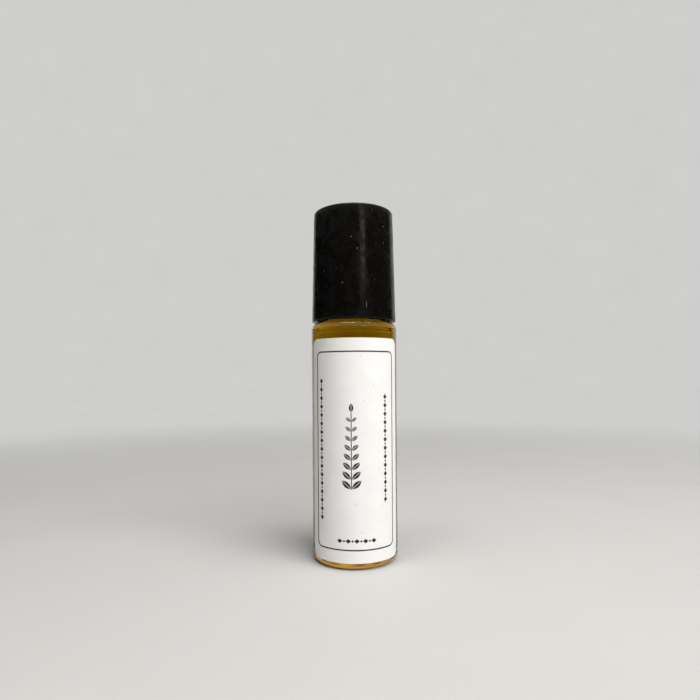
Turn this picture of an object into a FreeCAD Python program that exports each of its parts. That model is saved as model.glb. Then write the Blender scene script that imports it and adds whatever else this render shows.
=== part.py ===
"""Roll on bottle: a glass vial of oil with a ball applicator under a screw cap, in millimetres.

The axis is +Z, the bottle stands on Z = 0 and its label faces -Y.
"""
import FreeCAD, Part
import math
import os

# Glass bottle
body_diameter = 20.0
wall = 2.1
base_thickness = 2.2
body_height = 55.25
heel_radius = 1.6
shoulder_radius = 1.8
bearing_width = 1.5
push_up_depth = 0.5
push_up_slope = 1.0
push_up_edge_radius = 0.4
cavity_heel_radius = 2.0
cavity_shoulder_radius = 0.9
throat_radius = 0.8
neck_wall = 1.25
neck_land = 1.73
neck_root_radius = 0.4
lip_radius = 0.5
lip_lead_in = 0.25

# Screw thread of the neck and its mate in the cap
thread_pitch = 3.0
thread_turns = 1.5
thread_depth = 0.8
thread_crest_width = 0.8
bead_crest_width = 0.5
flank_slope = 0.5
thread_root_sink = 0.25
thread_crest_clearance = 0.2
bead_crest_clearance = 0.3
thread_play = 0.2
thread_end_land = 0.3

# Roller ball and the housing that cages it
ball_margin = 0.91
ball_rise = 2.0
ball_running_gap = 0.1
ball_grip = 2.0
collar_wall = 1.35
collar_lip_wall = 0.6
collar_edge_radius = 0.15
flange_ledge = 0.4
flange_thickness = 0.9
flange_edge_radius = 0.2
plug_length = 7.6
plug_clearance = 0.15
plug_wall = 1.1
plug_lead_in = 0.5
rib_count = 3
rib_spacing = 1.6
rib_top_drop = 1.2
rib_height = 0.8
rib_clearance = 0.01
rib_root_sink = 0.15
seat_web = 0.9
feed_hole_diameter = 3.6
feed_slot_count = 3
feed_slot_width = 0.8
feed_slot_length = 0.7

# Oil
oil_headspace = 2.0

# Label
label_width = 23.3
label_height = 49.4
label_foot_land = 0.1
label_thickness = 0.12
label_corner_radius = 1.7
adhesive_gap = 0.03

# Cap shell
cap_inset = 0.13
cap_taper = 0.6
cap_headroom = 4.9
cap_rim_wall = 1.34
cap_top_thickness = 1.4
cap_rim_gap = 0.15
cap_top_edge_radius = 0.6
cap_rim_edge_radius = 0.25
cap_inner_corner_radius = 0.3

# Threaded liner inside the cap, and the pad that closes on the ball
liner_fit = 0.02
liner_wall = 0.6
liner_recess = 0.6
liner_web = 1.0
liner_edge_radius = 0.15
pad_overhang = 0.65
pad_thickness = 1.8
pad_skirt = 0.8
pad_edge_radius = 0.3
pad_fit = 0.02
pad_gap = 0.15
pad_collar_wall = 0.7
pad_collar_depth = 1.2

# Places worked out from the sizes above
MERGE_DISTANCE = 1e-6
X_AXIS = FreeCAD.Vector(1, 0, 0)
Z_AXIS = FreeCAD.Vector(0, 0, 1)
body_radius = body_diameter / 2
cap_rim_radius = body_radius - cap_inset
cap_top_radius = cap_rim_radius - cap_taper
shell_bore = cap_rim_radius - cap_rim_wall
liner_outer = shell_bore - liner_fit
liner_bore = liner_outer - liner_wall
thread_crest = liner_bore - thread_crest_clearance
neck_radius = thread_crest - thread_depth
bore_radius = neck_radius - neck_wall
ball_radius = bore_radius - ball_margin
pad_radius = ball_radius + pad_overhang
label_foot = heel_radius + label_foot_land

shoulder_centre = body_radius - shoulder_radius
shoulder_reach = max(shell_bore - shoulder_centre, 0)
shoulder_under_rim = body_height - shoulder_radius + math.sqrt(shoulder_radius**2 - shoulder_reach**2)
cap_bottom = shoulder_under_rim + cap_rim_gap
liner_bottom = cap_bottom + liner_recess

bead_crest = neck_radius + bead_crest_clearance
bead_root_width = bead_crest_width + 2 * flank_slope * (liner_bore - bead_crest)
flank_reach = (thread_crest_width + bead_crest_width) / 2 + flank_slope * (thread_crest - bead_crest)
bead_start = liner_bottom + bead_root_width / 2 + thread_end_land
thread_start = bead_start + flank_reach + thread_play
thread_root_width = thread_crest_width + 2 * flank_slope * thread_depth
thread_top = thread_start + thread_pitch * thread_turns + thread_root_width / 2

lip_z = thread_top + neck_land
ball_z = lip_z + ball_rise
plug_bottom = lip_z - plug_length
oil_level = plug_bottom - oil_headspace
web_bottom = ball_z + ball_radius + pad_gap + pad_thickness
web_top = web_bottom + liner_web
cap_ceiling = web_top + cap_headroom
cap_top = cap_ceiling + cap_top_thickness
liner_top = cap_ceiling - liner_fit


def corner_arc(before, corner, after, radius):
    """The tangent points and the middle point of the arc that rounds one corner of an outline."""
    to_before = (before - corner).normalize()
    to_after = (after - corner).normalize()
    half_angle = to_before.getAngle(to_after) / 2
    reach = radius / math.tan(half_angle)
    bisector = (to_before + to_after).normalize()
    middle = corner + bisector * (radius / math.sin(half_angle) - radius)
    return corner + to_before * reach, middle, corner + to_after * reach


def rounded_face(outline):
    """A face in the XZ plane from (radius, height, corner radius) points; a corner radius of 0 is sharp."""
    corners = [FreeCAD.Vector(r, 0, z) for r, z, _ in outline]
    edges = []
    ends = []
    for i, (_, _, radius) in enumerate(outline):
        corner = corners[i]
        if radius > 0:
            start, middle, end = corner_arc(corners[i - 1], corner, corners[(i + 1) % len(corners)], radius)
            edges.append(Part.Arc(start, middle, end).toShape())
            ends.append((start, end))
        else:
            ends.append((corner, corner))
    for (_, leave), (arrive, _) in zip(ends, ends[1:] + ends[:1]):
        if (arrive - leave).Length > MERGE_DISTANCE:
            edges.append(Part.LineSegment(leave, arrive).toShape())
    return Part.Face(Part.Wire(Part.__sortEdges__(edges)))


def lathe(outline):
    """The solid that an outline sweeps in a full turn about the bottle's axis."""
    return rounded_face(outline).revolve(FreeCAD.Vector(), Z_AXIS, 360)


def thread_ridge(root, crest, crest_width, start_z):
    """A right-hand ridge of trapezium section from its root radius to its crest, sunk into its wall."""
    outward = 1 if crest > root else -1
    sunk_root = root - outward * thread_root_sink
    crest_half = crest_width / 2
    root_half = crest_half + flank_slope * abs(crest - sunk_root)
    section = Part.makePolygon([
        FreeCAD.Vector(sunk_root, 0, start_z - root_half),
        FreeCAD.Vector(crest, 0, start_z - crest_half),
        FreeCAD.Vector(crest, 0, start_z + crest_half),
        FreeCAD.Vector(sunk_root, 0, start_z + root_half),
        FreeCAD.Vector(sunk_root, 0, start_z - root_half),
    ])
    helix = Part.makeHelix(thread_pitch, thread_pitch * thread_turns, root)
    helix.translate(FreeCAD.Vector(0, 0, start_z))
    return Part.Wire(helix).makePipeShell([section], True, True)


def cavity():
    """The hollow of the bottle, from its floor up through the flared mouth."""
    cavity_radius = body_radius - wall
    cavity_top = body_height - wall
    above_lip = lip_z + neck_land
    return lathe([
        (0, base_thickness, 0),
        (cavity_radius, base_thickness, cavity_heel_radius),
        (cavity_radius, cavity_top, cavity_shoulder_radius),
        (bore_radius, cavity_top, throat_radius),
        (bore_radius, lip_z - lip_lead_in, 0),
        (bore_radius + lip_lead_in, lip_z, 0),
        (bore_radius + lip_lead_in, above_lip, 0),
        (0, above_lip, 0),
    ])


def glass_bottle():
    """Moulded vial: pushed-up base, rounded heel and shoulder, and a neck with one thread start."""
    bearing_outer = body_radius - heel_radius
    bearing_inner = bearing_outer - bearing_width
    outside = lathe([
        (0, push_up_depth, 0),
        (bearing_inner - push_up_slope, push_up_depth, push_up_edge_radius),
        (bearing_inner, 0, push_up_edge_radius),
        (body_radius, 0, heel_radius),
        (body_radius, body_height, shoulder_radius),
        (neck_radius, body_height, neck_root_radius),
        (neck_radius, lip_z, lip_radius),
        (0, lip_z, 0),
    ])
    thread = thread_ridge(neck_radius, thread_crest, thread_crest_width, thread_start)
    return outside.fuse(thread).cut(cavity()).removeSplitter()


def fragrance_oil():
    """The fill: the hollow of the bottle up to the oil's level."""
    below_level = Part.makeCylinder(body_radius, oil_level)
    return cavity().common(below_level)


def label():
    """Paper wrapped round the front, with four rounded corners."""
    inner = body_radius + adhesive_gap
    outer = inner + label_thickness
    span = math.degrees(label_width / inner)
    strip = rounded_face([
        (inner, label_foot, 0),
        (outer, label_foot, 0),
        (outer, label_foot + label_height, 0),
        (inner, label_foot + label_height, 0),
    ])
    strip.rotate(FreeCAD.Vector(), Z_AXIS, -90 - span / 2)
    sheet = strip.revolve(FreeCAD.Vector(), Z_AXIS, span)

    # A square block less a radial rod leaves the waste outside one rounded corner
    reach = outer + label_thickness
    rod = Part.makeCylinder(label_corner_radius, reach, FreeCAD.Vector(), X_AXIS)
    waste = Part.makeBox(reach, 2 * label_corner_radius, 2 * label_corner_radius).cut(rod)
    corner_turn = span / 2 - math.degrees(math.asin(label_corner_radius / inner))
    corner_rise = label_height / 2 - label_corner_radius
    for quarter, (side, end) in enumerate([(1, 1), (-1, 1), (-1, -1), (1, -1)]):
        tool = waste.copy()
        tool.rotate(FreeCAD.Vector(), X_AXIS, 90 * quarter)
        tool.rotate(FreeCAD.Vector(), Z_AXIS, -90 + side * corner_turn)
        tool.translate(FreeCAD.Vector(0, 0, label_foot + label_height / 2 + end * corner_rise))
        sheet = sheet.cut(tool)
    return sheet


def roller_housing():
    """Soft plug with ribs for the neck, a flange on the lip and a collar closing over the ball."""
    seat_radius = ball_radius + ball_running_gap
    opening_radius = math.sqrt(seat_radius**2 - ball_grip**2)
    collar_radius = seat_radius + collar_wall
    plug_radius = bore_radius - plug_clearance
    plug_bore = plug_radius - plug_wall
    flange_top = lip_z + flange_thickness
    collar_top = ball_z + ball_grip
    web_underside = ball_z - seat_radius - seat_web
    housing = lathe([
        (plug_bore, plug_bottom, 0),
        (plug_radius, plug_bottom, plug_lead_in),
        (plug_radius, lip_z, 0),
        (collar_radius + flange_ledge, lip_z, 0),
        (collar_radius + flange_ledge, flange_top, flange_edge_radius),
        (collar_radius, flange_top, collar_edge_radius),
        (opening_radius + collar_lip_wall, collar_top, collar_edge_radius),
        (0, collar_top, 0),
        (0, web_underside, 0),
        (plug_bore, web_underside, 0),
    ])
    for i in range(rib_count):
        rib_z = lip_z - rib_top_drop - i * rib_spacing
        housing = housing.fuse(lathe([
            (plug_radius - rib_root_sink, rib_z - rib_height / 2, 0),
            (bore_radius - rib_clearance, rib_z, 0),
            (plug_radius - rib_root_sink, rib_z + rib_height / 2, 0),
        ]))
    ball_place = FreeCAD.Vector(0, 0, ball_z)
    feed_start = FreeCAD.Vector(0, 0, plug_bottom)
    feed_radius = feed_hole_diameter / 2
    housing = housing.cut(Part.makeSphere(seat_radius, ball_place))
    housing = housing.cut(Part.makeCylinder(feed_radius, ball_rise + plug_length, feed_start))
    for i in range(feed_slot_count):
        corner = FreeCAD.Vector(0, -feed_slot_width / 2, plug_bottom)
        slot = Part.makeBox(feed_radius + feed_slot_length, feed_slot_width, ball_rise + plug_length, corner)
        slot.rotate(FreeCAD.Vector(), Z_AXIS, 360 * i / feed_slot_count)
        housing = housing.cut(slot)
    return housing.removeSplitter()


def roller_ball():
    """Ground steel ball."""
    return Part.makeSphere(ball_radius, FreeCAD.Vector(0, 0, ball_z))


def cap_shell():
    """Smooth outer cap, drafted towards its flat top, with a plain bore for the liner."""
    return lathe([
        (shell_bore, cap_bottom, 0),
        (cap_rim_radius, cap_bottom, cap_rim_edge_radius),
        (cap_top_radius, cap_top, cap_top_edge_radius),
        (0, cap_top, 0),
        (0, cap_ceiling, 0),
        (shell_bore, cap_ceiling, cap_inner_corner_radius),
    ])


def cap_liner():
    """Sleeve pressed into the shell: the screw thread, a cross web and a collar round the pad."""
    collar_inner = pad_radius + pad_fit
    collar_outer = collar_inner + pad_collar_wall
    collar_bottom = web_bottom - pad_collar_depth
    sleeve = lathe([
        (liner_bore, liner_bottom, 0),
        (liner_outer, liner_bottom, liner_edge_radius),
        (liner_outer, liner_top, cap_inner_corner_radius + liner_edge_radius),
        (liner_bore, liner_top, 0),
        (liner_bore, web_top, liner_edge_radius),
        (0, web_top, 0),
        (0, web_bottom, 0),
        (collar_inner, web_bottom, 0),
        (collar_inner, collar_bottom, liner_edge_radius),
        (collar_outer, collar_bottom, liner_edge_radius),
        (collar_outer, web_bottom, liner_edge_radius),
        (liner_bore, web_bottom, liner_edge_radius),
    ])
    bead = thread_ridge(liner_bore, bead_crest, bead_crest_width, bead_start)
    return sleeve.fuse(bead).removeSplitter()


def seal_pad():
    """Soft disc against the liner's web, dished to sit over the ball."""
    disc = lathe([
        (0, web_bottom - pad_thickness - pad_skirt, 0),
        (pad_radius, web_bottom - pad_thickness - pad_skirt, pad_edge_radius),
        (pad_radius, web_bottom, 0),
        (0, web_bottom, 0),
    ])
    return disc.cut(Part.makeSphere(ball_radius + pad_gap, FreeCAD.Vector(0, 0, ball_z)))


pieces = [glass_bottle, fragrance_oil, label, roller_housing, roller_ball, cap_shell, cap_liner, seal_pad]
os.makedirs("parts", exist_ok=True)
for piece in pieces:
    shape = piece()
    if not shape.isValid() or len(shape.Solids) != 1:
        raise ValueError(f"{piece.__name__} is not one sound solid")
    shape.Solids[0].exportStep(f"parts/{piece.__name__}.step")
    box = shape.BoundBox
    print(f"{piece.__name__}: {shape.Volume / 1000:.3f} cm3, Z {box.ZMin:.2f} to {box.ZMax:.2f}, "
          f"X {box.XMin:.2f} to {box.XMax:.2f}")
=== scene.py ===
import bmesh
import bpy
import math
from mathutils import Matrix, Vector, noise


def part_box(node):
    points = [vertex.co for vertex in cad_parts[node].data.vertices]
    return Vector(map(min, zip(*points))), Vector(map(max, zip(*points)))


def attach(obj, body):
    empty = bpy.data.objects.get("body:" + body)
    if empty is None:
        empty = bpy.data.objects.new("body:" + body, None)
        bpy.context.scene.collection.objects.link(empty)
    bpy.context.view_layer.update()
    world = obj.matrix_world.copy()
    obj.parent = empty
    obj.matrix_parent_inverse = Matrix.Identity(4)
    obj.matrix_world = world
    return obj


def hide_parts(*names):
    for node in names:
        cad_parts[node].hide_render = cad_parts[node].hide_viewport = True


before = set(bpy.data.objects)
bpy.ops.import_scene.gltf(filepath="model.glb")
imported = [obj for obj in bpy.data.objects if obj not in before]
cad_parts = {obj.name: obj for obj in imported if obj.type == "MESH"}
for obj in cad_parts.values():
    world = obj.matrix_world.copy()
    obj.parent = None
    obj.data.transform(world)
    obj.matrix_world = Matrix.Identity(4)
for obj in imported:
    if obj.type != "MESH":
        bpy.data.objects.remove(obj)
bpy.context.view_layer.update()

# Glass bottle: a small vial of clear soda glass, faintly amber where it is thick, with a rounded heel and
# shoulder and a threaded neck. It is blown in a mould, which leaves its inside and its base a little
# uneven, and it stands on a narrow ring round the pushed-up base.
glass_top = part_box("glass_bottle")[1]
oil_low, oil_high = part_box("fragrance_oil")
body_radius = glass_top.x
lip_z = glass_top.z
cavity_radius = oil_high.x
floor_z = oil_low.z
body_height = 0.05525
cavity_top = 0.05315
heel_radius = 0.0016
shoulder_radius = 0.0018
bearing_inner = 0.0069
push_up_depth = 0.0005
push_up_slope = 0.0010
small_edge = 0.0004
neck_radius = 0.00691
bore_radius = 0.00566
lip_radius = 0.0005
lip_lead_in = 0.00025
throat_radius = 0.0008
cavity_heel_radius = 0.0020
cavity_shoulder_radius = 0.0009
oil_level = oil_high.z
meniscus_rise = 0.0004
glass_ior = 1.51
oil_ior = 1.495
glass_smear_haze = 0.12
thread_pitch = 0.0030
thread_turns = 1.5
thread_fade = 0.07
thread_crest = 0.00771
thread_crest_width = 0.0008
thread_start = 0.05797
flank_slope = 0.5
neck_rows = 64
body_rows = 40
wave_depth = 0.00006
wave_coarseness = 170
base_wave_depth = 0.00018
base_wave_coarseness = 520
base_rings = 14
quarter_steps = 40
arc_step = 0.00018
touching = 2e-6
crease_angle = math.radians(35)


def pick(piece, wanted):
    """Selects, in edit mode, only the points that a test of their place accepts."""
    bpy.ops.mesh.select_all(action="DESELECT")
    mesh = bmesh.from_edit_mesh(piece.data)
    for vert in mesh.verts:
        vert.select = wanted(vert.co)
    mesh.select_flush(True)
    bmesh.update_edit_mesh(piece.data)


def draw_outline(name, corners, closed=False):
    """Draws half a section by extruding a point round (radius, height, rounding) corners, in edit mode."""
    bpy.ops.object.select_all(action="DESELECT")
    bpy.ops.mesh.primitive_circle_add(vertices=3)
    piece = bpy.context.object
    piece.name = piece.data.name = name
    bpy.ops.object.mode_set(mode="EDIT")
    bpy.ops.mesh.merge(type="CENTER")
    places = [Vector((radius, 0, height)) for radius, height, _ in corners]
    bpy.ops.transform.translate(value=places[0])
    for last, place in zip(places, places[1:]):
        bpy.ops.mesh.extrude_region_move(TRANSFORM_OT_translate={"value": place - last})
    if closed:
        pick(piece, lambda co: min((co - places[0]).length, (co - places[-1]).length) < touching)
        bpy.ops.mesh.edge_face_add()
    for i, (_, _, rounding) in enumerate(corners):
        if rounding:
            corner = places[i]
            bend = (places[i - 1] - corner).angle(places[(i + 1) % len(places)] - corner)
            pick(piece, lambda co: (co - corner).length < touching)
            bpy.ops.mesh.bevel(
                offset=rounding / math.tan(bend / 2), affect="VERTICES",
                segments=max(3, round(rounding * (math.pi - bend) / arc_step)))
    return piece


def split_run(piece, radius, low, high, cuts):
    """Divides the straight upright run of an outline at one radius into even rows."""
    pick(piece, lambda co: abs(co.x - radius) < touching and low < co.z < high)
    bpy.ops.mesh.subdivide(number_cuts=cuts)


def spin_outline(piece):
    """Spins an outline a quarter turn about the axis, doubles it twice and closes its seams and poles."""
    bpy.ops.mesh.select_all(action="SELECT")
    bpy.ops.mesh.spin(steps=quarter_steps, angle=math.tau / 4, center=(0, 0, 0), axis=(0, 0, 1))
    for turn in (math.tau / 4, math.tau / 2):
        bpy.ops.mesh.select_all(action="SELECT")
        bpy.ops.mesh.duplicate()
        bpy.ops.transform.rotate(value=turn, orient_axis="Z", center_override=(0, 0, 0))
    bpy.ops.mesh.select_all(action="SELECT")
    bpy.ops.mesh.remove_doubles(threshold=touching)
    bpy.ops.mesh.normals_make_consistent(inside=False)


def raise_thread(piece, wall_radius, crest_radius, crest_width, start_z):
    """Moves the points of a plain round wall to a right-hand ridge that fades out at both ends."""
    mesh = bmesh.from_edit_mesh(piece.data)
    flank = flank_slope * abs(crest_radius - wall_radius)
    for vert in mesh.verts:
        if abs(vert.co.xy.length - wall_radius) < touching:
            part_turn = math.atan2(vert.co.y, vert.co.x) / math.tau % 1
            share = 0
            for lap in range(math.ceil(thread_turns)):
                turns = part_turn + lap
                off_crest = abs(vert.co.z - start_z - turns * thread_pitch) - crest_width / 2
                rise = min(max(1 - off_crest / flank, 0), 1)
                run_out = min(max(min(turns, thread_turns - turns) / thread_fade, 0), 1)
                share = max(share, rise * run_out)
            vert.co.xy *= 1 + share * (crest_radius / wall_radius - 1)
    bmesh.update_edit_mesh(piece.data)


def split_disc(piece, height, rings):
    """Divides the flat run of an outline at one height into rings."""
    pick(piece, lambda co: abs(co.z - height) < touching)
    bpy.ops.mesh.subdivide(number_cuts=rings)


def ripple(piece, depth, coarseness, belongs):
    """Moves the points of a wall in and out along their normals, as uneven as blown glass."""
    mesh = bmesh.from_edit_mesh(piece.data)
    mesh.normal_update()
    for vert in mesh.verts:
        if belongs(vert.co):
            vert.co += vert.normal * depth * noise.noise(vert.co * coarseness)
    bmesh.update_edit_mesh(piece.data)


def finish_piece(piece, material, body, node):
    """Leaves edit mode, smooths all but the sharp edges, gives a piece its material if it has none, ties
    it to its body and hides the imported part that it stands for."""
    if piece.mode == "EDIT":
        bpy.ops.object.mode_set(mode="OBJECT")
    bpy.ops.object.shade_smooth_by_angle(angle=crease_angle)
    if not piece.data.materials:
        piece.data.materials.append(material)
    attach(piece, body)
    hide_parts(node)


def feed(tree, socket, value):
    """Links a socket to another one, or sets it to a plain value."""
    if isinstance(value, bpy.types.NodeSocket):
        tree.links.new(value, socket)
    else:
        socket.default_value = value


def add(tree, kind, *values, **settings):
    """Adds a shader node. Values fill its sockets in order; a capital begins a socket's name, and a
    small letter a setting's. A socket that is given as a value is linked."""
    made = tree.nodes.new("ShaderNode" + kind)
    sockets = dict(enumerate(values))
    for name, value in settings.items():
        if name[0].isupper():
            sockets[name.replace("_", " ")] = value
        else:
            setattr(made, name, value)
    for place, value in sockets.items():
        feed(tree, made.inputs[place], value)
    return made


def calc(tree, operation, *values):
    """The result of one Math node."""
    return add(tree, "Math", *values, operation=operation).outputs[0]


def fade(tree, value, low, high, to_low=0.0, to_high=1.0):
    """A value's smooth passage from one level to another as it goes from low to high."""
    passage = add(tree, "MapRange", value, low, high, to_low, to_high, interpolation_type="SMOOTHSTEP")
    return passage.outputs[0]


def from_axis(tree, place):
    """The distance of a place from the bottle's axis."""
    flat_place = add(tree, "Mapping", place, Scale=(1, 1, 0)).outputs[0]
    return add(tree, "VectorMath", flat_place, operation="LENGTH").outputs["Value"]


def in_drum(tree, place, radius, low, high):
    """1 where a place lies in an upright drum round the axis, and 0 elsewhere."""
    height = add(tree, "SeparateXYZ", place).outputs[2]
    above = calc(tree, "GREATER_THAN", height, low)
    below = calc(tree, "LESS_THAN", height, high)
    near = calc(tree, "LESS_THAN", from_axis(tree, place), radius)
    return calc(tree, "MULTIPLY", calc(tree, "MULTIPLY", above, below), near)


def emboss(tree, shader, height, strength, depth):
    """Gives a surface fine relief from a pattern of heights."""
    relief = add(tree, "Bump", Strength=strength, Distance=depth, Height=height)
    tree.links.new(relief.outputs[0], shader.inputs["Normal"])


def new_material(name, **settings):
    """A material with one main shader set to plain values; returns it, its tree and the shader."""
    material = bpy.data.materials.new(name)
    material.use_nodes = True
    tree = material.node_tree
    shader = tree.nodes["Principled BSDF"]
    for socket, value in settings.items():
        shader.inputs[socket.replace("_", " ")].default_value = value
    return material, tree, shader


def new_group(name, inputs, outputs):
    """A shader node group with float sockets, and a vector one for the place; returns its parts."""
    tree = bpy.data.node_groups.new(name, "ShaderNodeTree")
    for way, sockets in (("INPUT", inputs), ("OUTPUT", outputs)):
        for socket in sockets:
            kind = "NodeSocketVector" if socket == "Place" else "NodeSocketFloat"
            tree.interface.new_socket(socket, in_out=way, socket_type=kind)
    return tree, tree.nodes.new("NodeGroupInput").outputs, tree.nodes.new("NodeGroupOutput").inputs


def use_group(tree, group, **settings):
    """Places a node group in a material and fills its named sockets; returns its first output."""
    made = tree.nodes.new("ShaderNodeGroup")
    made.node_tree = group
    for name, value in settings.items():
        feed(tree, made.inputs[name], value)
    return made.outputs[0]


# Smears left by fingers: soft cloudy patches broken by finer streaks
patch_softness = 0.18
streak_fineness = 7.0
bare_streak = 0.35
full_streak = 0.7
smears, smear_in, smear_out = new_group("handling_smears", ["Place", "Scale", "Cover"], ["Mask"])
patches = add(
    smears, "TexNoise", Vector=smear_in["Place"], Scale=smear_in["Scale"], Detail=3.0, Distortion=0.8)
full_patch = calc(smears, "ADD", smear_in["Cover"], patch_softness)
patch_mask = fade(smears, patches.outputs[0], smear_in["Cover"], full_patch)
fine_scale = calc(smears, "MULTIPLY", smear_in["Scale"], streak_fineness)
streaks = add(
    smears, "TexNoise", Vector=smear_in["Place"], Scale=fine_scale, Detail=4.0, Distortion=1.2)
streak_mask = fade(smears, streaks.outputs[0], bare_streak, full_streak)
smears.links.new(calc(smears, "MULTIPLY", patch_mask, streak_mask), smear_out["Mask"])

bottle = draw_outline("glass_bottle_piece", [
    (0, push_up_depth, 0),
    (bearing_inner - push_up_slope, push_up_depth, small_edge),
    (bearing_inner, 0, small_edge),
    (body_radius, 0, heel_radius),
    (body_radius, body_height, shoulder_radius),
    (neck_radius, body_height, small_edge),
    (neck_radius, lip_z, lip_radius),
    (bore_radius + lip_lead_in, lip_z, 0),
    (bore_radius, lip_z - lip_lead_in, 0),
    (bore_radius, cavity_top, throat_radius),
    (cavity_radius, cavity_top, cavity_shoulder_radius),
    (cavity_radius, floor_z, cavity_heel_radius),
    (0, floor_z, 0),
])
split_run(bottle, neck_radius, body_height, lip_z, neck_rows)
split_run(bottle, body_radius, 0, body_height, body_rows)
split_run(bottle, cavity_radius, 0, cavity_top, body_rows)
for disc_z in (floor_z, push_up_depth):
    split_disc(bottle, disc_z, base_rings)
spin_outline(bottle)
raise_thread(bottle, neck_radius, thread_crest, thread_crest_width, thread_start)
ripple(bottle, wave_depth, wave_coarseness,
       lambda co: co.xy.length < cavity_radius + touching and co.z > push_up_depth + base_wave_depth)
ripple(bottle, base_wave_depth, base_wave_coarseness,
       lambda co: co.xy.length < bearing_inner and base_wave_depth < co.z < floor_z + cavity_heel_radius)

soda_glass, tree, shader = new_material(
    "soda_glass", Base_Color=(0.97, 0.985, 0.965, 1), IOR=glass_ior, Transmission_Weight=1.0)
place = add(tree, "TexCoord").outputs["Object"]
# Where the oil wets the glass inside, light passes from one to the other with almost no step
in_body = in_drum(tree, place, cavity_radius + 2 * wave_depth, floor_z - 2 * base_wave_depth,
                  cavity_top + 2 * wave_depth)
in_throat = in_drum(tree, place, bore_radius + throat_radius, cavity_top, oil_level + meniscus_rise)
wetted = calc(tree, "MAXIMUM", in_body, in_throat)
tree.links.new(
    calc(tree, "MULTIPLY_ADD", wetted, glass_ior / oil_ior - glass_ior, glass_ior), shader.inputs["IOR"])
glass_smears = use_group(tree, smears, Place=place, Scale=260.0, Cover=0.56)
tree.links.new(fade(tree, glass_smears, 0, 1, 0.0, glass_smear_haze), shader.inputs["Roughness"])
waves = add(tree, "TexNoise", Vector=place, Scale=330.0, Detail=1.0).outputs[0]
emboss(tree, shader, waves, strength=0.12, depth=0.0004)
glass_tint = add(tree, "VolumeAbsorption", Color=(0.96, 0.76, 0.0, 1), Density=190.0)
tree.links.new(glass_tint.outputs[0], tree.nodes["Material Output"].inputs["Volume"])
finish_piece(bottle, soda_glass, "bottle", "glass_bottle")

# Oil: the golden fill, clear, that wets the glass all round and climbs it a little at its level.
# Its skin stands a hair inside the glass, so that no air shows between the two, and only its open
# surface bends the light.
wetting = 0.00003
meniscus_reach = 0.0013
no_step_ior = 1.001
meniscus_cuts = 10

oil_bore = bore_radius + wetting
rim_curve = [
    (oil_bore - meniscus_reach * i / meniscus_cuts,
     oil_level + meniscus_rise * (1 - i / meniscus_cuts) ** 2, 0)
    for i in range(meniscus_cuts + 1)
]
oil = draw_outline("fragrance_oil_piece", [
    (0, floor_z - wetting, 0),
    (cavity_radius + wetting, floor_z - wetting, cavity_heel_radius + wetting),
    (cavity_radius + wetting, cavity_top + wetting, cavity_shoulder_radius + wetting),
    (oil_bore, cavity_top + wetting, throat_radius - wetting),
    *rim_curve,
    (0, oil_level, 0),
])
split_run(oil, cavity_radius + wetting, 0, cavity_top, body_rows)
split_disc(oil, floor_z - wetting, base_rings)
spin_outline(oil)
ripple(oil, -wave_depth, wave_coarseness, lambda co: co.z < cavity_top + 2 * wetting)
ripple(oil, -base_wave_depth, base_wave_coarseness,
       lambda co: co.xy.length < bearing_inner and co.z < floor_z + cavity_heel_radius)

golden_oil, tree, shader = new_material(
    "golden_oil", Base_Color=(1, 0.99, 0.96, 1), Roughness=0.0, IOR=oil_ior, Transmission_Weight=1.0)
place = add(tree, "TexCoord").outputs["Object"]
open_surface = in_drum(
    tree, place, oil_bore - wetting, oil_level - touching, oil_level + meniscus_rise + touching)
tree.links.new(
    calc(tree, "MULTIPLY_ADD", open_surface, oil_ior - no_step_ior, no_step_ior), shader.inputs["IOR"])
oil_tint = add(tree, "VolumeAbsorption", Color=(0.765, 0.68, 0.05, 1), Density=420.0)
tree.links.new(oil_tint.outputs[0], tree.nodes["Material Output"].inputs["Volume"])
finish_piece(oil, golden_oil, "bottle", "fragrance_oil")

# Label: a white uncoated paper sticker with rounded corners, wrapped round the front of the body.
# A thin line is printed round its edge, with a leaf sprig and three ornamental rules inside it.
label_low, label_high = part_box("label")
label_thickness = 0.00012
label_inner = 0.01003
label_width = 0.0233
label_height = label_high.z - label_low.z
label_middle = (label_high.z + label_low.z) / 2
label_corner = 0.0017
label_corner_cuts = 8
label_strips = 76
fleck_strength = 0.35

bpy.ops.object.select_all(action="DESELECT")
bpy.ops.mesh.primitive_plane_add(size=1)
label = bpy.context.object
label.name = label.data.name = "label_piece"
bpy.ops.object.mode_set(mode="EDIT")
bpy.ops.transform.resize(value=(label_width, label_height, 1))
bpy.ops.mesh.bevel(offset=label_corner, segments=label_corner_cuts, affect="VERTICES")
for i in range(1, label_strips):
    bpy.ops.mesh.select_all(action="SELECT")
    cut = label_width * (i / label_strips - 0.5)
    bpy.ops.mesh.bisect(plane_co=(cut, 0, 0), plane_no=(1, 0, 0))
bpy.ops.object.mode_set(mode="OBJECT")
print_map = label.data.uv_layers.new(name="print")
for corner in label.data.loops:
    flat = label.data.vertices[corner.vertex_index].co
    print_map.data[corner.index].uv = (flat.x / label_width + 0.5, flat.y / label_height + 0.5)
for vert in label.data.vertices:
    angle = vert.co.x / label_inner
    around = Vector((math.sin(angle), -math.cos(angle), 0)) * label_inner
    vert.co = around + Vector((0, 0, label_middle + vert.co.y))
paper_depth = label.modifiers.new("paper", "SOLIDIFY")
paper_depth.thickness = label_thickness
paper_depth.offset = 1
bpy.ops.object.modifier_apply(modifier=paper_depth.name)

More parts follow.
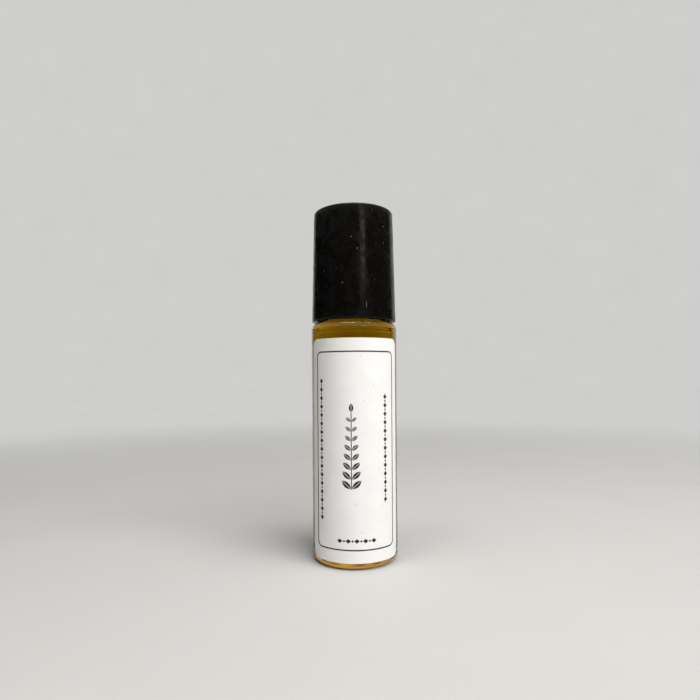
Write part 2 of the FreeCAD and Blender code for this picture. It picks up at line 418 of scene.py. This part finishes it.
# A thin line round a rectangle with rounded corners; Place is in millimetres from the label's middle
line_border, border_in, border_out = new_group(
    "line_border", ["Place", "Half Width", "Half Height", "Corner", "Half Line", "Edge"], ["Mask"])
spot = add(line_border, "SeparateXYZ", border_in["Place"]).outputs
past_side, past_end = (
    calc(line_border, "ADD", border_in["Corner"],
         calc(line_border, "SUBTRACT", calc(line_border, "ABSOLUTE", along), border_in[half]))
    for along, half in ((spot[0], "Half Width"), (spot[1], "Half Height")))
past_corner = add(
    line_border, "CombineXYZ", calc(line_border, "MAXIMUM", past_side, 0.0),
    calc(line_border, "MAXIMUM", past_end, 0.0)).outputs[0]
outside = add(line_border, "VectorMath", past_corner, operation="LENGTH").outputs["Value"]
inside = calc(line_border, "MINIMUM", calc(line_border, "MAXIMUM", past_side, past_end), 0.0)
off_line = calc(line_border, "ABSOLUTE", calc(
    line_border, "SUBTRACT", calc(line_border, "ADD", outside, inside), border_in["Corner"]))
full_ink, no_ink = (
    calc(line_border, way, border_in["Half Line"], border_in["Edge"]) for way in ("SUBTRACT", "ADD"))
line_border.links.new(fade(line_border, off_line, full_ink, no_ink, 1.0, 0.0), border_out["Mask"])

# A rule of lozenges along Y, with a bead between each two, in millimetres
lozenge_half_width = 0.5
lozenge_half_height = 0.62
bead_radius = 0.23
bead_softness = 0.03
lozenge_rule, rule_in, rule_out = new_group(
    "lozenge_rule", ["Place", "Half Length", "Spacing"], ["Mask"])
spot = add(lozenge_rule, "SeparateXYZ", rule_in["Place"]).outputs
across = calc(lozenge_rule, "ABSOLUTE", spot[0])
along = calc(lozenge_rule, "ABSOLUTE", spot[1])
half_cell = calc(lozenge_rule, "MULTIPLY", rule_in["Spacing"], 0.5)
cell = calc(lozenge_rule, "PINGPONG", along, half_cell)
to_lozenge = calc(lozenge_rule, "ADD", calc(lozenge_rule, "DIVIDE", across, lozenge_half_width),
                  calc(lozenge_rule, "DIVIDE", cell, lozenge_half_height))
lozenge = fade(lozenge_rule, to_lozenge, 0.9, 1.1, 1.0, 0.0)
from_bead = calc(lozenge_rule, "SUBTRACT", half_cell, cell)
to_bead = calc(lozenge_rule, "SQRT", calc(
    lozenge_rule, "ADD", calc(lozenge_rule, "POWER", across, 2.0),
    calc(lozenge_rule, "POWER", from_bead, 2.0)))
bead = fade(lozenge_rule, to_bead, bead_radius - bead_softness, bead_radius + bead_softness, 1.0, 0.0)
within = calc(lozenge_rule, "LESS_THAN", along, rule_in["Half Length"])
on_rule = calc(lozenge_rule, "MULTIPLY", calc(lozenge_rule, "MAXIMUM", lozenge, bead), within)
lozenge_rule.links.new(on_rule, rule_out["Mask"])

# An upright sprig: a stem with pairs of leaves that shrink towards its tip, and one leaf at the end
leaf_sprig, sprig_in, sprig_out = new_group("leaf_sprig", ["Place", "Half Length", "Spacing"], ["Mask"])
spot = add(leaf_sprig, "SeparateXYZ", sprig_in["Place"]).outputs
across = calc(leaf_sprig, "ABSOLUTE", spot[0])
climb = calc(leaf_sprig, "ADD", spot[1], sprig_in["Half Length"])
pair = calc(leaf_sprig, "FLOOR", calc(leaf_sprig, "DIVIDE", climb, sprig_in["Spacing"]))
pair_foot = calc(leaf_sprig, "MULTIPLY", pair, sprig_in["Spacing"])
above_foot = calc(leaf_sprig, "SUBTRACT", climb, pair_foot)
length = calc(leaf_sprig, "MULTIPLY", sprig_in["Half Length"], 2.0)
climb_share = calc(leaf_sprig, "DIVIDE", pair_foot, length)
leaf_size = fade(leaf_sprig, climb_share, -0.3, 1.1, to_low=1.1, to_high=0.5)


def leaf(along, aside, size, long, wide):
    """The mask of one leaf that starts at along 0: a bulging outline with a bare vein down its middle."""
    share = calc(leaf_sprig, "DIVIDE", along, calc(leaf_sprig, "MULTIPLY", size, long))
    bulge = calc(leaf_sprig, "MULTIPLY", share, calc(leaf_sprig, "SUBTRACT", 1.0, share))
    half = calc(leaf_sprig, "MULTIPLY", bulge, calc(leaf_sprig, "MULTIPLY", size, 2.0 * wide))
    off_vein = calc(leaf_sprig, "ABSOLUTE", aside)
    blade = fade(leaf_sprig, calc(leaf_sprig, "SUBTRACT", half, off_vein), -0.03, 0.03)
    return calc(leaf_sprig, "MULTIPLY", blade, fade(leaf_sprig, off_vein, 0.02, 0.07))


tilt = math.radians(42)
out_along = calc(leaf_sprig, "ADD", calc(leaf_sprig, "MULTIPLY", across, math.cos(tilt)),
                 calc(leaf_sprig, "MULTIPLY", above_foot, math.sin(tilt)))
out_aside = calc(leaf_sprig, "SUBTRACT", calc(leaf_sprig, "MULTIPLY", above_foot, math.cos(tilt)),
                 calc(leaf_sprig, "MULTIPLY", across, math.sin(tilt)))
off_stem = calc(leaf_sprig, "SUBTRACT", out_along, 0.12)
side_leaf = leaf(off_stem, out_aside, leaf_size, long=2.7, wide=1.15)
on_stem = calc(leaf_sprig, "MULTIPLY", calc(leaf_sprig, "GREATER_THAN", climb, 0.0),
               calc(leaf_sprig, "LESS_THAN", climb, length))
stem = fade(leaf_sprig, across, 0.07, 0.13, 1.0, 0.0)
tip_leaf = leaf(calc(leaf_sprig, "SUBTRACT", climb, length), across, size=0.8, long=2.6, wide=1.2)
on_sprig = calc(leaf_sprig, "MULTIPLY", calc(leaf_sprig, "MAXIMUM", side_leaf, stem), on_stem)
leaf_sprig.links.new(calc(leaf_sprig, "MAXIMUM", on_sprig, tip_leaf), sprig_out["Mask"])

# Dust and flecks: sparse specks of uneven size
core_share = 0.6
dust, dust_in, dust_out = new_group("dust_specks", ["Place", "Scale", "Share"], ["Mask"])
grains = add(dust, "TexVoronoi", Vector=dust_in["Place"], Scale=dust_in["Scale"])
draw = add(dust, "SeparateColor", grains.outputs["Color"]).outputs
present = calc(dust, "LESS_THAN", draw[0], dust_in["Share"])
speck_size = fade(dust, draw[1], 0, 1, to_low=0.08, to_high=0.3)
speck_core = calc(dust, "MULTIPLY", speck_size, core_share)
speck = fade(dust, grains.outputs["Distance"], speck_core, speck_size, 1.0, 0.0)
dust.links.new(calc(dust, "MULTIPLY", speck, present), dust_out["Mask"])


def blend_colours(tree, share, first, second):
    """The colour that lies a share of the way from the first to the second."""
    mix = tree.nodes.new("ShaderNodeMix")
    mix.data_type = "RGBA"
    for place, value in (("Factor", share), ("A", first), ("B", second)):
        socket = [s for s in mix.inputs if s.name == place and s.enabled][0]
        feed(tree, socket, value)
    return [s for s in mix.outputs if s.enabled][0]


label_paper, tree, shader = new_material("label_paper", Roughness=0.72, Specular_IOR_Level=0.3)
print_place = add(tree, "UVMap", uv_map="print").outputs[0]
mm_place = add(
    tree, "Mapping", print_place, Location=(-500 * label_width, -500 * label_height, 0),
    Scale=(1000 * label_width, 1000 * label_height, 1)).outputs[0]
border_place = add(tree, "Mapping", mm_place, Location=(0, 0.05, 0)).outputs[0]
border = use_group(tree, line_border, **{
    "Place": border_place, "Half Width": 9.73, "Half Height": 21.75, "Corner": 1.25,
    "Half Line": 0.155, "Edge": 0.03})
left_place = add(tree, "Mapping", mm_place, Location=(8.3, 0, 0)).outputs[0]
left_rule = use_group(tree, lozenge_rule, **{
    "Place": left_place, "Half Length": 15.85, "Spacing": 1.9})
right_place = add(tree, "Mapping", mm_place, Location=(-7.2, -0.25, 0)).outputs[0]
right_rule = use_group(tree, lozenge_rule, **{
    "Place": right_place, "Half Length": 12.2, "Spacing": 1.9})
foot_place = add(
    tree, "Mapping", mm_place, Location=(-19.8, -0.2, 0), Rotation=(0, 0, math.pi / 2)).outputs[0]
foot_rule = use_group(tree, lozenge_rule, **{
    "Place": foot_place, "Half Length": 4.5, "Spacing": 1.9})
sprig_place = add(tree, "Mapping", mm_place, Location=(0.9, 0.1, 0)).outputs[0]
sprig = use_group(tree, leaf_sprig, **{"Place": sprig_place, "Half Length": 8.4, "Spacing": 2.1})
ink = border
for ornament in (left_rule, right_rule, foot_rule, sprig):
    ink = calc(tree, "MAXIMUM", ink, ornament)
place = add(tree, "TexCoord").outputs["Object"]
clouding = add(tree, "TexNoise", Vector=place, Scale=260.0, Detail=3.0).outputs[0]
paper_colour = blend_colours(
    tree, fade(tree, clouding, 0.3, 0.7), (0.855, 0.85, 0.845, 1), (0.885, 0.88, 0.875, 1))
flecks = use_group(tree, dust, Place=place, Scale=1500.0, Share=0.05)
faint_flecks = calc(tree, "MULTIPLY", flecks, fleck_strength)
paper_colour = blend_colours(tree, faint_flecks, paper_colour, (0.36, 0.33, 0.30, 1))
printed_colour = blend_colours(tree, ink, paper_colour, (0.022, 0.021, 0.022, 1))
tree.links.new(printed_colour, shader.inputs["Base Color"])
fibres = add(tree, "TexNoise", Vector=place, Scale=2600.0, Detail=3.0).outputs[0]
emboss(tree, shader, fibres, strength=0.08, depth=0.00003)

bare_paper, tree, shader = new_material(
    "bare_paper", Roughness=0.8, Specular_IOR_Level=0.25, Subsurface_Weight=1.0,
    Subsurface_Scale=0.0004, Subsurface_Radius=(1.0, 1.0, 1.0))
place = add(tree, "TexCoord").outputs["Object"]
fibres = add(tree, "TexNoise", Vector=place, Scale=2600.0, Detail=3.0).outputs[0]
fibre_colour = blend_colours(tree, fibres, (0.86, 0.85, 0.82, 1), (0.93, 0.92, 0.90, 1))
tree.links.new(fibre_colour, shader.inputs["Base Color"])
label.data.materials.append(label_paper)
label.data.materials.append(bare_paper)
for face in label.data.polygons:
    outward = Vector((face.center.x, face.center.y, 0)).normalized()
    face.material_index = 0 if face.normal.dot(outward) > 0.5 else 1
finish_piece(label, label_paper, "bottle", "label")

# Roller housing: a plug of milky natural plastic, snapped into the neck on three ribs, with a flange on
# the lip and a collar that closes over the widest part of the ball. A hole with three slots feeds the oil.
housing_low, housing_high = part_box("roller_housing")
ball_low, ball_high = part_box("roller_ball")
ball_radius = ball_high.x
ball_z = (ball_low.z + ball_high.z) / 2
flange_radius = housing_high.x
collar_top = housing_high.z
plug_bottom = housing_low.z
seat_play = 0.0001
seat_radius = ball_radius + seat_play
flange_step = 0.0004
collar_radius = flange_radius - flange_step
collar_lip_wall = 0.0006
collar_edge = 0.00015
flange_thickness = 0.0009
flange_edge = 0.0002
plug_play = 0.00015
plug_radius = bore_radius - plug_play
plug_wall = 0.0011
plug_bore = plug_radius - plug_wall
plug_lead_in = 0.0005
plug_corner = 0.0002
rib_play = 0.00001
rib_tip = bore_radius - rib_play
rib_half = 0.0004
rib_heights = (0.0606, 0.0622, 0.0638)
seat_web = 0.0009
feed_radius = 0.0018
feed_slot_width = 0.0008
feed_slot_length = 0.0007
feed_slot_count = 3
seat_cuts = 40

opening_radius = math.sqrt(seat_radius ** 2 - (collar_top - ball_z) ** 2)
seat_start = math.asin((collar_top - ball_z) / seat_radius)
seat_end = -math.acos(feed_radius / seat_radius)
seat_curve = []
for i in range(seat_cuts + 1):
    angle = seat_start + (seat_end - seat_start) * i / seat_cuts
    seat_curve.append((seat_radius * math.cos(angle), ball_z + seat_radius * math.sin(angle), 0))
rib_corners = []
for rib_z in rib_heights:
    rib_corners += [
        (plug_radius, rib_z - rib_half, 0),
        (rib_tip, rib_z, 0),
        (plug_radius, rib_z + rib_half, 0),
    ]
web_underside = ball_z - seat_radius - seat_web
housing = draw_outline("roller_housing_piece", [
    (plug_bore, web_underside, plug_corner),
    (plug_bore, plug_bottom, 0),
    (plug_radius, plug_bottom, plug_lead_in),
    *rib_corners,
    (plug_radius, lip_z, 0),
    (flange_radius, lip_z, 0),
    (flange_radius, lip_z + flange_thickness, flange_edge),
    (collar_radius, lip_z + flange_thickness, collar_edge),
    (opening_radius + collar_lip_wall, collar_top, collar_edge),
    *seat_curve,
    (feed_radius, web_underside, 0),
], closed=True)
spin_outline(housing)
bpy.ops.object.mode_set(mode="OBJECT")

bpy.ops.object.select_all(action="DESELECT")
bpy.ops.mesh.primitive_cube_add(size=1)
slots = bpy.context.object
bpy.ops.object.mode_set(mode="EDIT")
slot_reach = feed_radius + feed_slot_length
slot_height = ball_z - web_underside
bpy.ops.transform.resize(value=(slot_reach, feed_slot_width, slot_height))
bpy.ops.transform.translate(value=(slot_reach / 2, 0, web_underside))
for i in range(1, feed_slot_count):
    bpy.ops.mesh.duplicate()
    bpy.ops.transform.rotate(
        value=math.tau / feed_slot_count, orient_axis="Z", center_override=(0, 0, 0))
bpy.ops.object.mode_set(mode="OBJECT")
bpy.ops.object.select_all(action="DESELECT")
housing.select_set(True)
bpy.context.view_layer.objects.active = housing
slotting = housing.modifiers.new("feed_slots", "BOOLEAN")
slotting.object = slots
slotting.operation = "DIFFERENCE"
bpy.ops.object.modifier_apply(modifier=slotting.name)
bpy.data.objects.remove(slots)

# The fine grain that a mould's face leaves on plastic
grain_fineness = 5.0
fine_grain_share = 0.4
mould_grain, grain_in, grain_out = new_group("mould_grain", ["Place", "Scale"], ["Height"])
fine_scale = calc(mould_grain, "MULTIPLY", grain_in["Scale"], grain_fineness)
coarse_grain, fine_grain = (
    add(mould_grain, "TexNoise", Vector=grain_in["Place"], Scale=scale, Detail=2.0).outputs[0]
    for scale in (grain_in["Scale"], fine_scale))
grain_height = calc(mould_grain, "MULTIPLY_ADD", fine_grain, fine_grain_share, coarse_grain)
mould_grain.links.new(grain_height, grain_out["Height"])
gloss_spread = 0.08


def moulded_plastic(name, dark, pale, roughness, translucence):
    """A moulded plastic: slightly cloudy in colour, uneven in gloss and grained by its mould."""
    material, tree, shader = new_material(
        name, Subsurface_Weight=translucence, Subsurface_Scale=0.001, Subsurface_Radius=(1.0, 0.9, 0.7))
    place = add(tree, "TexCoord").outputs["Object"]
    clouds = add(tree, "TexNoise", Vector=place, Scale=420.0, Detail=3.0).outputs[0]
    tree.links.new(blend_colours(tree, clouds, dark, pale), shader.inputs["Base Color"])
    uneven_gloss = fade(tree, clouds, 0.3, 0.7, roughness - gloss_spread, roughness + gloss_spread)
    tree.links.new(uneven_gloss, shader.inputs["Roughness"])
    grain = use_group(tree, mould_grain, Place=place, Scale=1800.0)
    emboss(tree, shader, grain, strength=0.3, depth=0.00002)
    return material


natural_plastic = moulded_plastic(
    "natural_plastic", dark=(0.74, 0.73, 0.68, 1), pale=(0.86, 0.855, 0.82, 1),
    roughness=0.36, translucence=0.25)
finish_piece(housing, natural_plastic, "bottle", "roller_housing")

# Roller ball: a ground and polished steel ball that floats in the seat on a film of oil. It is worked
# from a cube, so that its faces are even all over.
ball_cuts = 31
film_dullness = 0.12

bpy.ops.object.select_all(action="DESELECT")
bpy.ops.mesh.primitive_cube_add(size=2 * ball_radius)
ball = bpy.context.object
ball.name = ball.data.name = "roller_ball_piece"
bpy.ops.object.mode_set(mode="EDIT")
bpy.ops.mesh.subdivide(number_cuts=ball_cuts)
bpy.ops.transform.tosphere(value=1)
bpy.ops.object.mode_set(mode="OBJECT")
for vert in ball.data.vertices:
    vert.co = vert.co.normalized() * ball_radius + Vector((0, 0, ball_z))

polished_steel, tree, shader = new_material("polished_steel", Metallic=1.0)
place = add(tree, "TexCoord").outputs["Object"]
level_place = add(tree, "Mapping", place, Scale=(1, 1, 14)).outputs[0]
lapping = add(
    tree, "TexNoise", Vector=level_place, Scale=500.0, Detail=5.0, Distortion=1.5).outputs[0]
steel_colour = blend_colours(tree, lapping, (0.74, 0.74, 0.75, 1), (0.86, 0.86, 0.87, 1))
tree.links.new(steel_colour, shader.inputs["Base Color"])
oil_film = use_group(tree, smears, Place=place, Scale=300.0, Cover=0.45)
lapped_gloss = fade(tree, lapping, 0.3, 0.7, to_low=0.20, to_high=0.32)
tree.links.new(
    calc(tree, "MULTIPLY_ADD", oil_film, film_dullness, lapped_gloss), shader.inputs["Roughness"])
emboss(tree, shader, lapping, strength=0.08, depth=0.00001)
finish_piece(ball, polished_steel, "ball", "roller_ball")

# Cap shell: the smooth outer cap, moulded in black plastic and drafted towards its flat top, with a
# plain bore for the liner. Use has left smears, dust and a few short scratches on its gloss.
cap_low, cap_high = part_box("cap_shell")
cap_rim_radius = cap_high.x
cap_bottom = cap_low.z
cap_top = cap_high.z
cap_draft = 0.0006
cap_top_radius = cap_rim_radius - cap_draft
shell_wall = 0.00134
shell_bore = cap_rim_radius - shell_wall
top_wall = 0.0014
cap_ceiling = cap_top - top_wall
cap_top_edge = 0.0006
cap_rim_edge = 0.00025
cap_bore_edge = 0.0001
cap_inner_corner = 0.0003
cap_flat_margin = 0.0012
cap_rows = 24
scratch_strength = 0.7
dust_dullness = 0.4
smear_film = 0.4

cap = draw_outline("cap_shell_piece", [
    (0, cap_ceiling, 0),
    (shell_bore, cap_ceiling, cap_inner_corner),
    (shell_bore, cap_bottom, cap_bore_edge),
    (cap_rim_radius, cap_bottom, cap_rim_edge),
    (cap_top_radius, cap_top, cap_top_edge),
    (cap_top_radius - cap_flat_margin, cap_top, 0),
    (0, cap_top, 0),
])
pick(cap, lambda co: co.x > cap_top_radius - touching and co.z > cap_bottom + cap_rim_edge / 2)
bpy.ops.mesh.subdivide(number_cuts=cap_rows)
spin_outline(cap)

black_plastic, tree, shader = new_material(
    "black_plastic", Specular_IOR_Level=0.14, Coat_Roughness=0.28, Coat_IOR=1.5)
place = add(tree, "TexCoord").outputs["Object"]
upright = add(tree, "Mapping", place, Scale=(1, 1, 0.45)).outputs[0]
cap_smears = use_group(tree, smears, Place=upright, Scale=260.0, Cover=0.51)
cap_dust = use_group(tree, dust, Place=place, Scale=1500.0, Share=0.06)
slanted = add(tree, "Mapping", place, Rotation=(0.2, 0.7, 0), Scale=(5, 5, 0.6)).outputs[0]
scratches = use_group(tree, dust, Place=slanted, Scale=420.0, Share=0.05)
cap_marks = calc(tree, "MAXIMUM", cap_dust, calc(tree, "MULTIPLY", scratches, scratch_strength))
cap_colour = blend_colours(tree, cap_smears, (0.0035, 0.0031, 0.0028, 1), (0.0065, 0.0064, 0.0062, 1))
cap_colour = blend_colours(tree, cap_marks, cap_colour, (0.10, 0.095, 0.085, 1))
tree.links.new(cap_colour, shader.inputs["Base Color"])
worn = add(tree, "TexNoise", Vector=place, Scale=420.0, Detail=4.0, Distortion=0.6).outputs[0]
worn_gloss = fade(tree, worn, 0.38, 0.62, to_low=0.14, to_high=0.32)
tree.links.new(
    calc(tree, "MULTIPLY_ADD", cap_marks, dust_dullness, worn_gloss), shader.inputs["Roughness"])
tree.links.new(calc(tree, "MULTIPLY", cap_smears, smear_film), shader.inputs["Coat Weight"])
cap_grain = use_group(tree, mould_grain, Place=place, Scale=500.0)
emboss(tree, shader, cap_grain, strength=0.1, depth=0.00002)
finish_piece(cap, black_plastic, "cap", "cap_shell")

# Cap liner: a sleeve of black plastic pressed into the shell. It carries the screw thread, a web
# across its middle and, under the web, a collar that holds the seal pad.
liner_low, liner_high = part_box("cap_liner")
pad_low, pad_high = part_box("seal_pad")
snug_play = 0.00002
liner_outer = shell_bore - snug_play
liner_wall = 0.0006
liner_bore = liner_outer - liner_wall
liner_bottom = liner_low.z
liner_top = liner_high.z
liner_edge = 0.00015
bead_crest = 0.00721
bead_crest_width = 0.0005
bead_start = 0.05687
bead_rows = 110
pad_radius = pad_high.x
web_bottom = pad_high.z
web_thickness = 0.0010
web_top = web_bottom + web_thickness
collar_inner = pad_radius + snug_play
collar_wall = 0.0007
collar_outer = collar_inner + collar_wall
collar_depth = 0.0012
collar_bottom = web_bottom - collar_depth

liner = draw_outline("cap_liner_piece", [
    (0, web_bottom, 0),
    (collar_inner, web_bottom, 0),
    (collar_inner, collar_bottom, liner_edge),
    (collar_outer, collar_bottom, liner_edge),
    (collar_outer, web_bottom, liner_edge),
    (liner_bore, web_bottom, liner_edge),
    (liner_bore, liner_bottom, 0),
    (liner_outer, liner_bottom, liner_edge),
    (liner_outer, liner_top, cap_inner_corner + liner_edge),
    (liner_bore, liner_top, 0),
    (liner_bore, web_top, liner_edge),
    (0, web_top, 0),
])
split_run(liner, liner_bore, 0, web_bottom, bead_rows)
spin_outline(liner)
raise_thread(liner, liner_bore, bead_crest, bead_crest_width, bead_start)
liner_plastic = moulded_plastic(
    "liner_plastic", dark=(0.006, 0.006, 0.006, 1), pale=(0.012, 0.012, 0.012, 1),
    roughness=0.42, translucence=0.0)
finish_piece(liner, liner_plastic, "cap", "cap_liner")

# Seal pad: a disc of soft white elastomer, moulded with a dish that closes on the ball. It lies loose
# in the liner's collar, under the web.
pad_gap = 0.00015
pad_edge = 0.0003
dish_cuts = 14

dish_radius = ball_radius + pad_gap
dish_reach = math.acos((pad_low.z - ball_z) / dish_radius)
dish_curve = []
for i in range(dish_cuts + 1):
    angle = dish_reach * i / dish_cuts
    dish_curve.append((dish_radius * math.sin(angle), ball_z + dish_radius * math.cos(angle), 0))
pad = draw_outline("seal_pad_piece", [
    *dish_curve,
    (pad_radius, pad_low.z, pad_edge),
    (pad_radius, web_bottom, 0),
    (0, web_bottom, 0),
])
spin_outline(pad)
soft_elastomer = moulded_plastic(
    "soft_elastomer", dark=(0.80, 0.785, 0.74, 1), pale=(0.88, 0.87, 0.84, 1),
    roughness=0.62, translucence=0.1)
finish_piece(pad, soft_elastomer, "pad", "seal_pad")

# Studio: a pale floor that runs up into a round wall, with a dark felt card round the front, which only
# reflections show. A high soft key lights the bottle from the front right, with a weak fill from the left,
# a lamp overhead that draws a line on the glass shoulder, and a small one for the streak on the cap.
studio_radius = 0.75
studio_height = 1.5
cove_radius = 0.25
card_radius = 0.60
card_bottom = 0.03
card_top = 0.32
card_azimuth = math.radians(-8)
card_half_angle = math.radians(136)
glow_start = 0.06
glow_full = 0.42
warm_white = (1.0, 0.985, 0.96)

floor = draw_outline("studio_floor", [
    (0, 0, 0),
    (studio_radius / 3, 0, 0),
    (studio_radius, 0, cove_radius),
    (studio_radius, studio_height, 0),
])
spin_outline(floor)
bpy.ops.mesh.flip_normals()
bpy.ops.object.mode_set(mode="OBJECT")
bpy.ops.object.shade_smooth()
pale_floor, tree, shader = new_material("pale_floor", Roughness=0.6, Specular_IOR_Level=0.2)
place = add(tree, "TexCoord").outputs["Object"]
paper_tone = add(tree, "TexNoise", Vector=place, Scale=30.0, Detail=4.0).outputs[0]
pale_tone = blend_colours(tree, paper_tone, (0.60, 0.597, 0.586, 1), (0.64, 0.637, 0.625, 1))
tree.links.new(pale_tone, shader.inputs["Base Color"])
ray = add(tree, "LightPath").outputs
seen = calc(tree, "MAXIMUM", ray["Is Camera Ray"],
            calc(tree, "MAXIMUM", ray["Is Glossy Ray"], ray["Is Transmission Ray"]))
far_part = fade(tree, from_axis(tree, place), glow_start, glow_full)
glow_share = calc(tree, "MULTIPLY", seen, far_part)
glow = add(tree, "Emission", Color=pale_tone, Strength=1.0)
mixed = add(tree, "MixShader", glow_share, shader.outputs[0], glow.outputs[0])
tree.links.new(mixed.outputs[0], tree.nodes["Material Output"].inputs["Surface"])
floor.data.materials.append(pale_floor)

bpy.ops.object.select_all(action="DESELECT")
bpy.ops.mesh.primitive_cylinder_add(vertices=96, radius=card_radius, depth=1, end_fill_type="NOTHING")
card = bpy.context.object
card.name = card.data.name = "studio_card"
bpy.ops.object.mode_set(mode="EDIT")
bpy.ops.transform.resize(value=(1, 1, card_top - card_bottom))
bpy.ops.transform.translate(value=(0, 0, (card_top + card_bottom) / 2))
card_middle = Vector((math.sin(card_azimuth), -math.cos(card_azimuth)))
pick(card, lambda co: co.xy.angle(card_middle) > card_half_angle)
bpy.ops.mesh.delete(type="VERT")
bpy.ops.object.mode_set(mode="OBJECT")
dark_felt, tree, shader = new_material("dark_felt", Roughness=1.0, Specular_IOR_Level=0.0)
place = add(tree, "TexCoord").outputs["Object"]
nap = add(tree, "TexNoise", Vector=place, Scale=60.0, Detail=4.0).outputs[0]
felt_colour = blend_colours(tree, nap, (0.015, 0.015, 0.015, 1), (0.03, 0.03, 0.03, 1))
tree.links.new(felt_colour, shader.inputs["Base Color"])
card.data.materials.append(dark_felt)
card.visible_camera = False
card.visible_transmission = False


def soft_light(name, azimuth, elevation, distance, width, height, power, colour):
    """A rectangular lamp that faces the middle of the bottle. Azimuth is in degrees from the front, to
    the right, and elevation in degrees from the floor."""
    lamp = bpy.data.lights.new(name, "AREA")
    lamp.shape = "RECTANGLE"
    lamp.size = width
    lamp.size_y = height
    lamp.energy = power
    lamp.color = colour
    lamp_object = bpy.data.objects.new(name, lamp)
    bpy.context.scene.collection.objects.link(lamp_object)
    side, rise = math.radians(azimuth), math.radians(elevation)
    toward = Vector((math.sin(side) * math.cos(rise), -math.cos(side) * math.cos(rise), math.sin(rise)))
    middle = Vector((0, 0, cap_top / 2))
    lamp_object.location = middle + toward * distance
    lamp_object.rotation_euler = toward.to_track_quat("Z", "Y").to_euler()
    return lamp_object


key = soft_light("key", azimuth=36, elevation=40, distance=0.55, width=0.50, height=0.34,
                 power=3.1, colour=warm_white)
key.visible_glossy = False
fill = soft_light("fill", azimuth=-50, elevation=40, distance=0.60, width=0.40, height=0.40,
                  power=0.05, colour=(0.96, 0.98, 1.0))
fill.visible_glossy = False
top = soft_light("top", azimuth=14, elevation=80, distance=0.50, width=0.45, height=0.12,
                 power=1.3, colour=warm_white)
top.visible_transmission = False
soft_light("streak", azimuth=25, elevation=20, distance=0.60, width=0.13, height=0.10,
           power=0.13, colour=(1.0, 0.98, 0.95))

world = bpy.data.worlds.new("studio_world")
bpy.context.scene.world = world
world.use_nodes = True
world.node_tree.nodes["Background"].inputs["Color"].default_value = (0.15, 0.15, 0.15, 1)

# Camera: level and close, with a wide lens, as the photograph was taken. It stands a little left of the
# label's middle and is tipped by a fraction of a degree.
camera_distance = 0.1235
camera_height = 0.04226
camera_aside = 0.0010
camera_azimuth = math.radians(-0.5)
camera_roll = math.radians(0.38)
camera = bpy.data.cameras.new("camera")
camera.sensor_width = 36.0
camera.lens = 26.74
camera.shift_y = 0.04
camera.clip_start = 0.005
camera_object = bpy.data.objects.new("camera", camera)
bpy.context.scene.collection.objects.link(camera_object)
back = Vector((math.sin(camera_azimuth), -math.cos(camera_azimuth), 0)) * camera_distance
left = Vector((-math.cos(camera_azimuth), -math.sin(camera_azimuth), 0)) * camera_aside
camera_object.location = back + left + Vector((0, 0, camera_height))
camera_object.rotation_euler = (math.pi / 2, camera_roll, camera_azimuth)
bpy.context.scene.camera = camera_object
bpy.context.scene.view_settings.view_transform = "Standard"
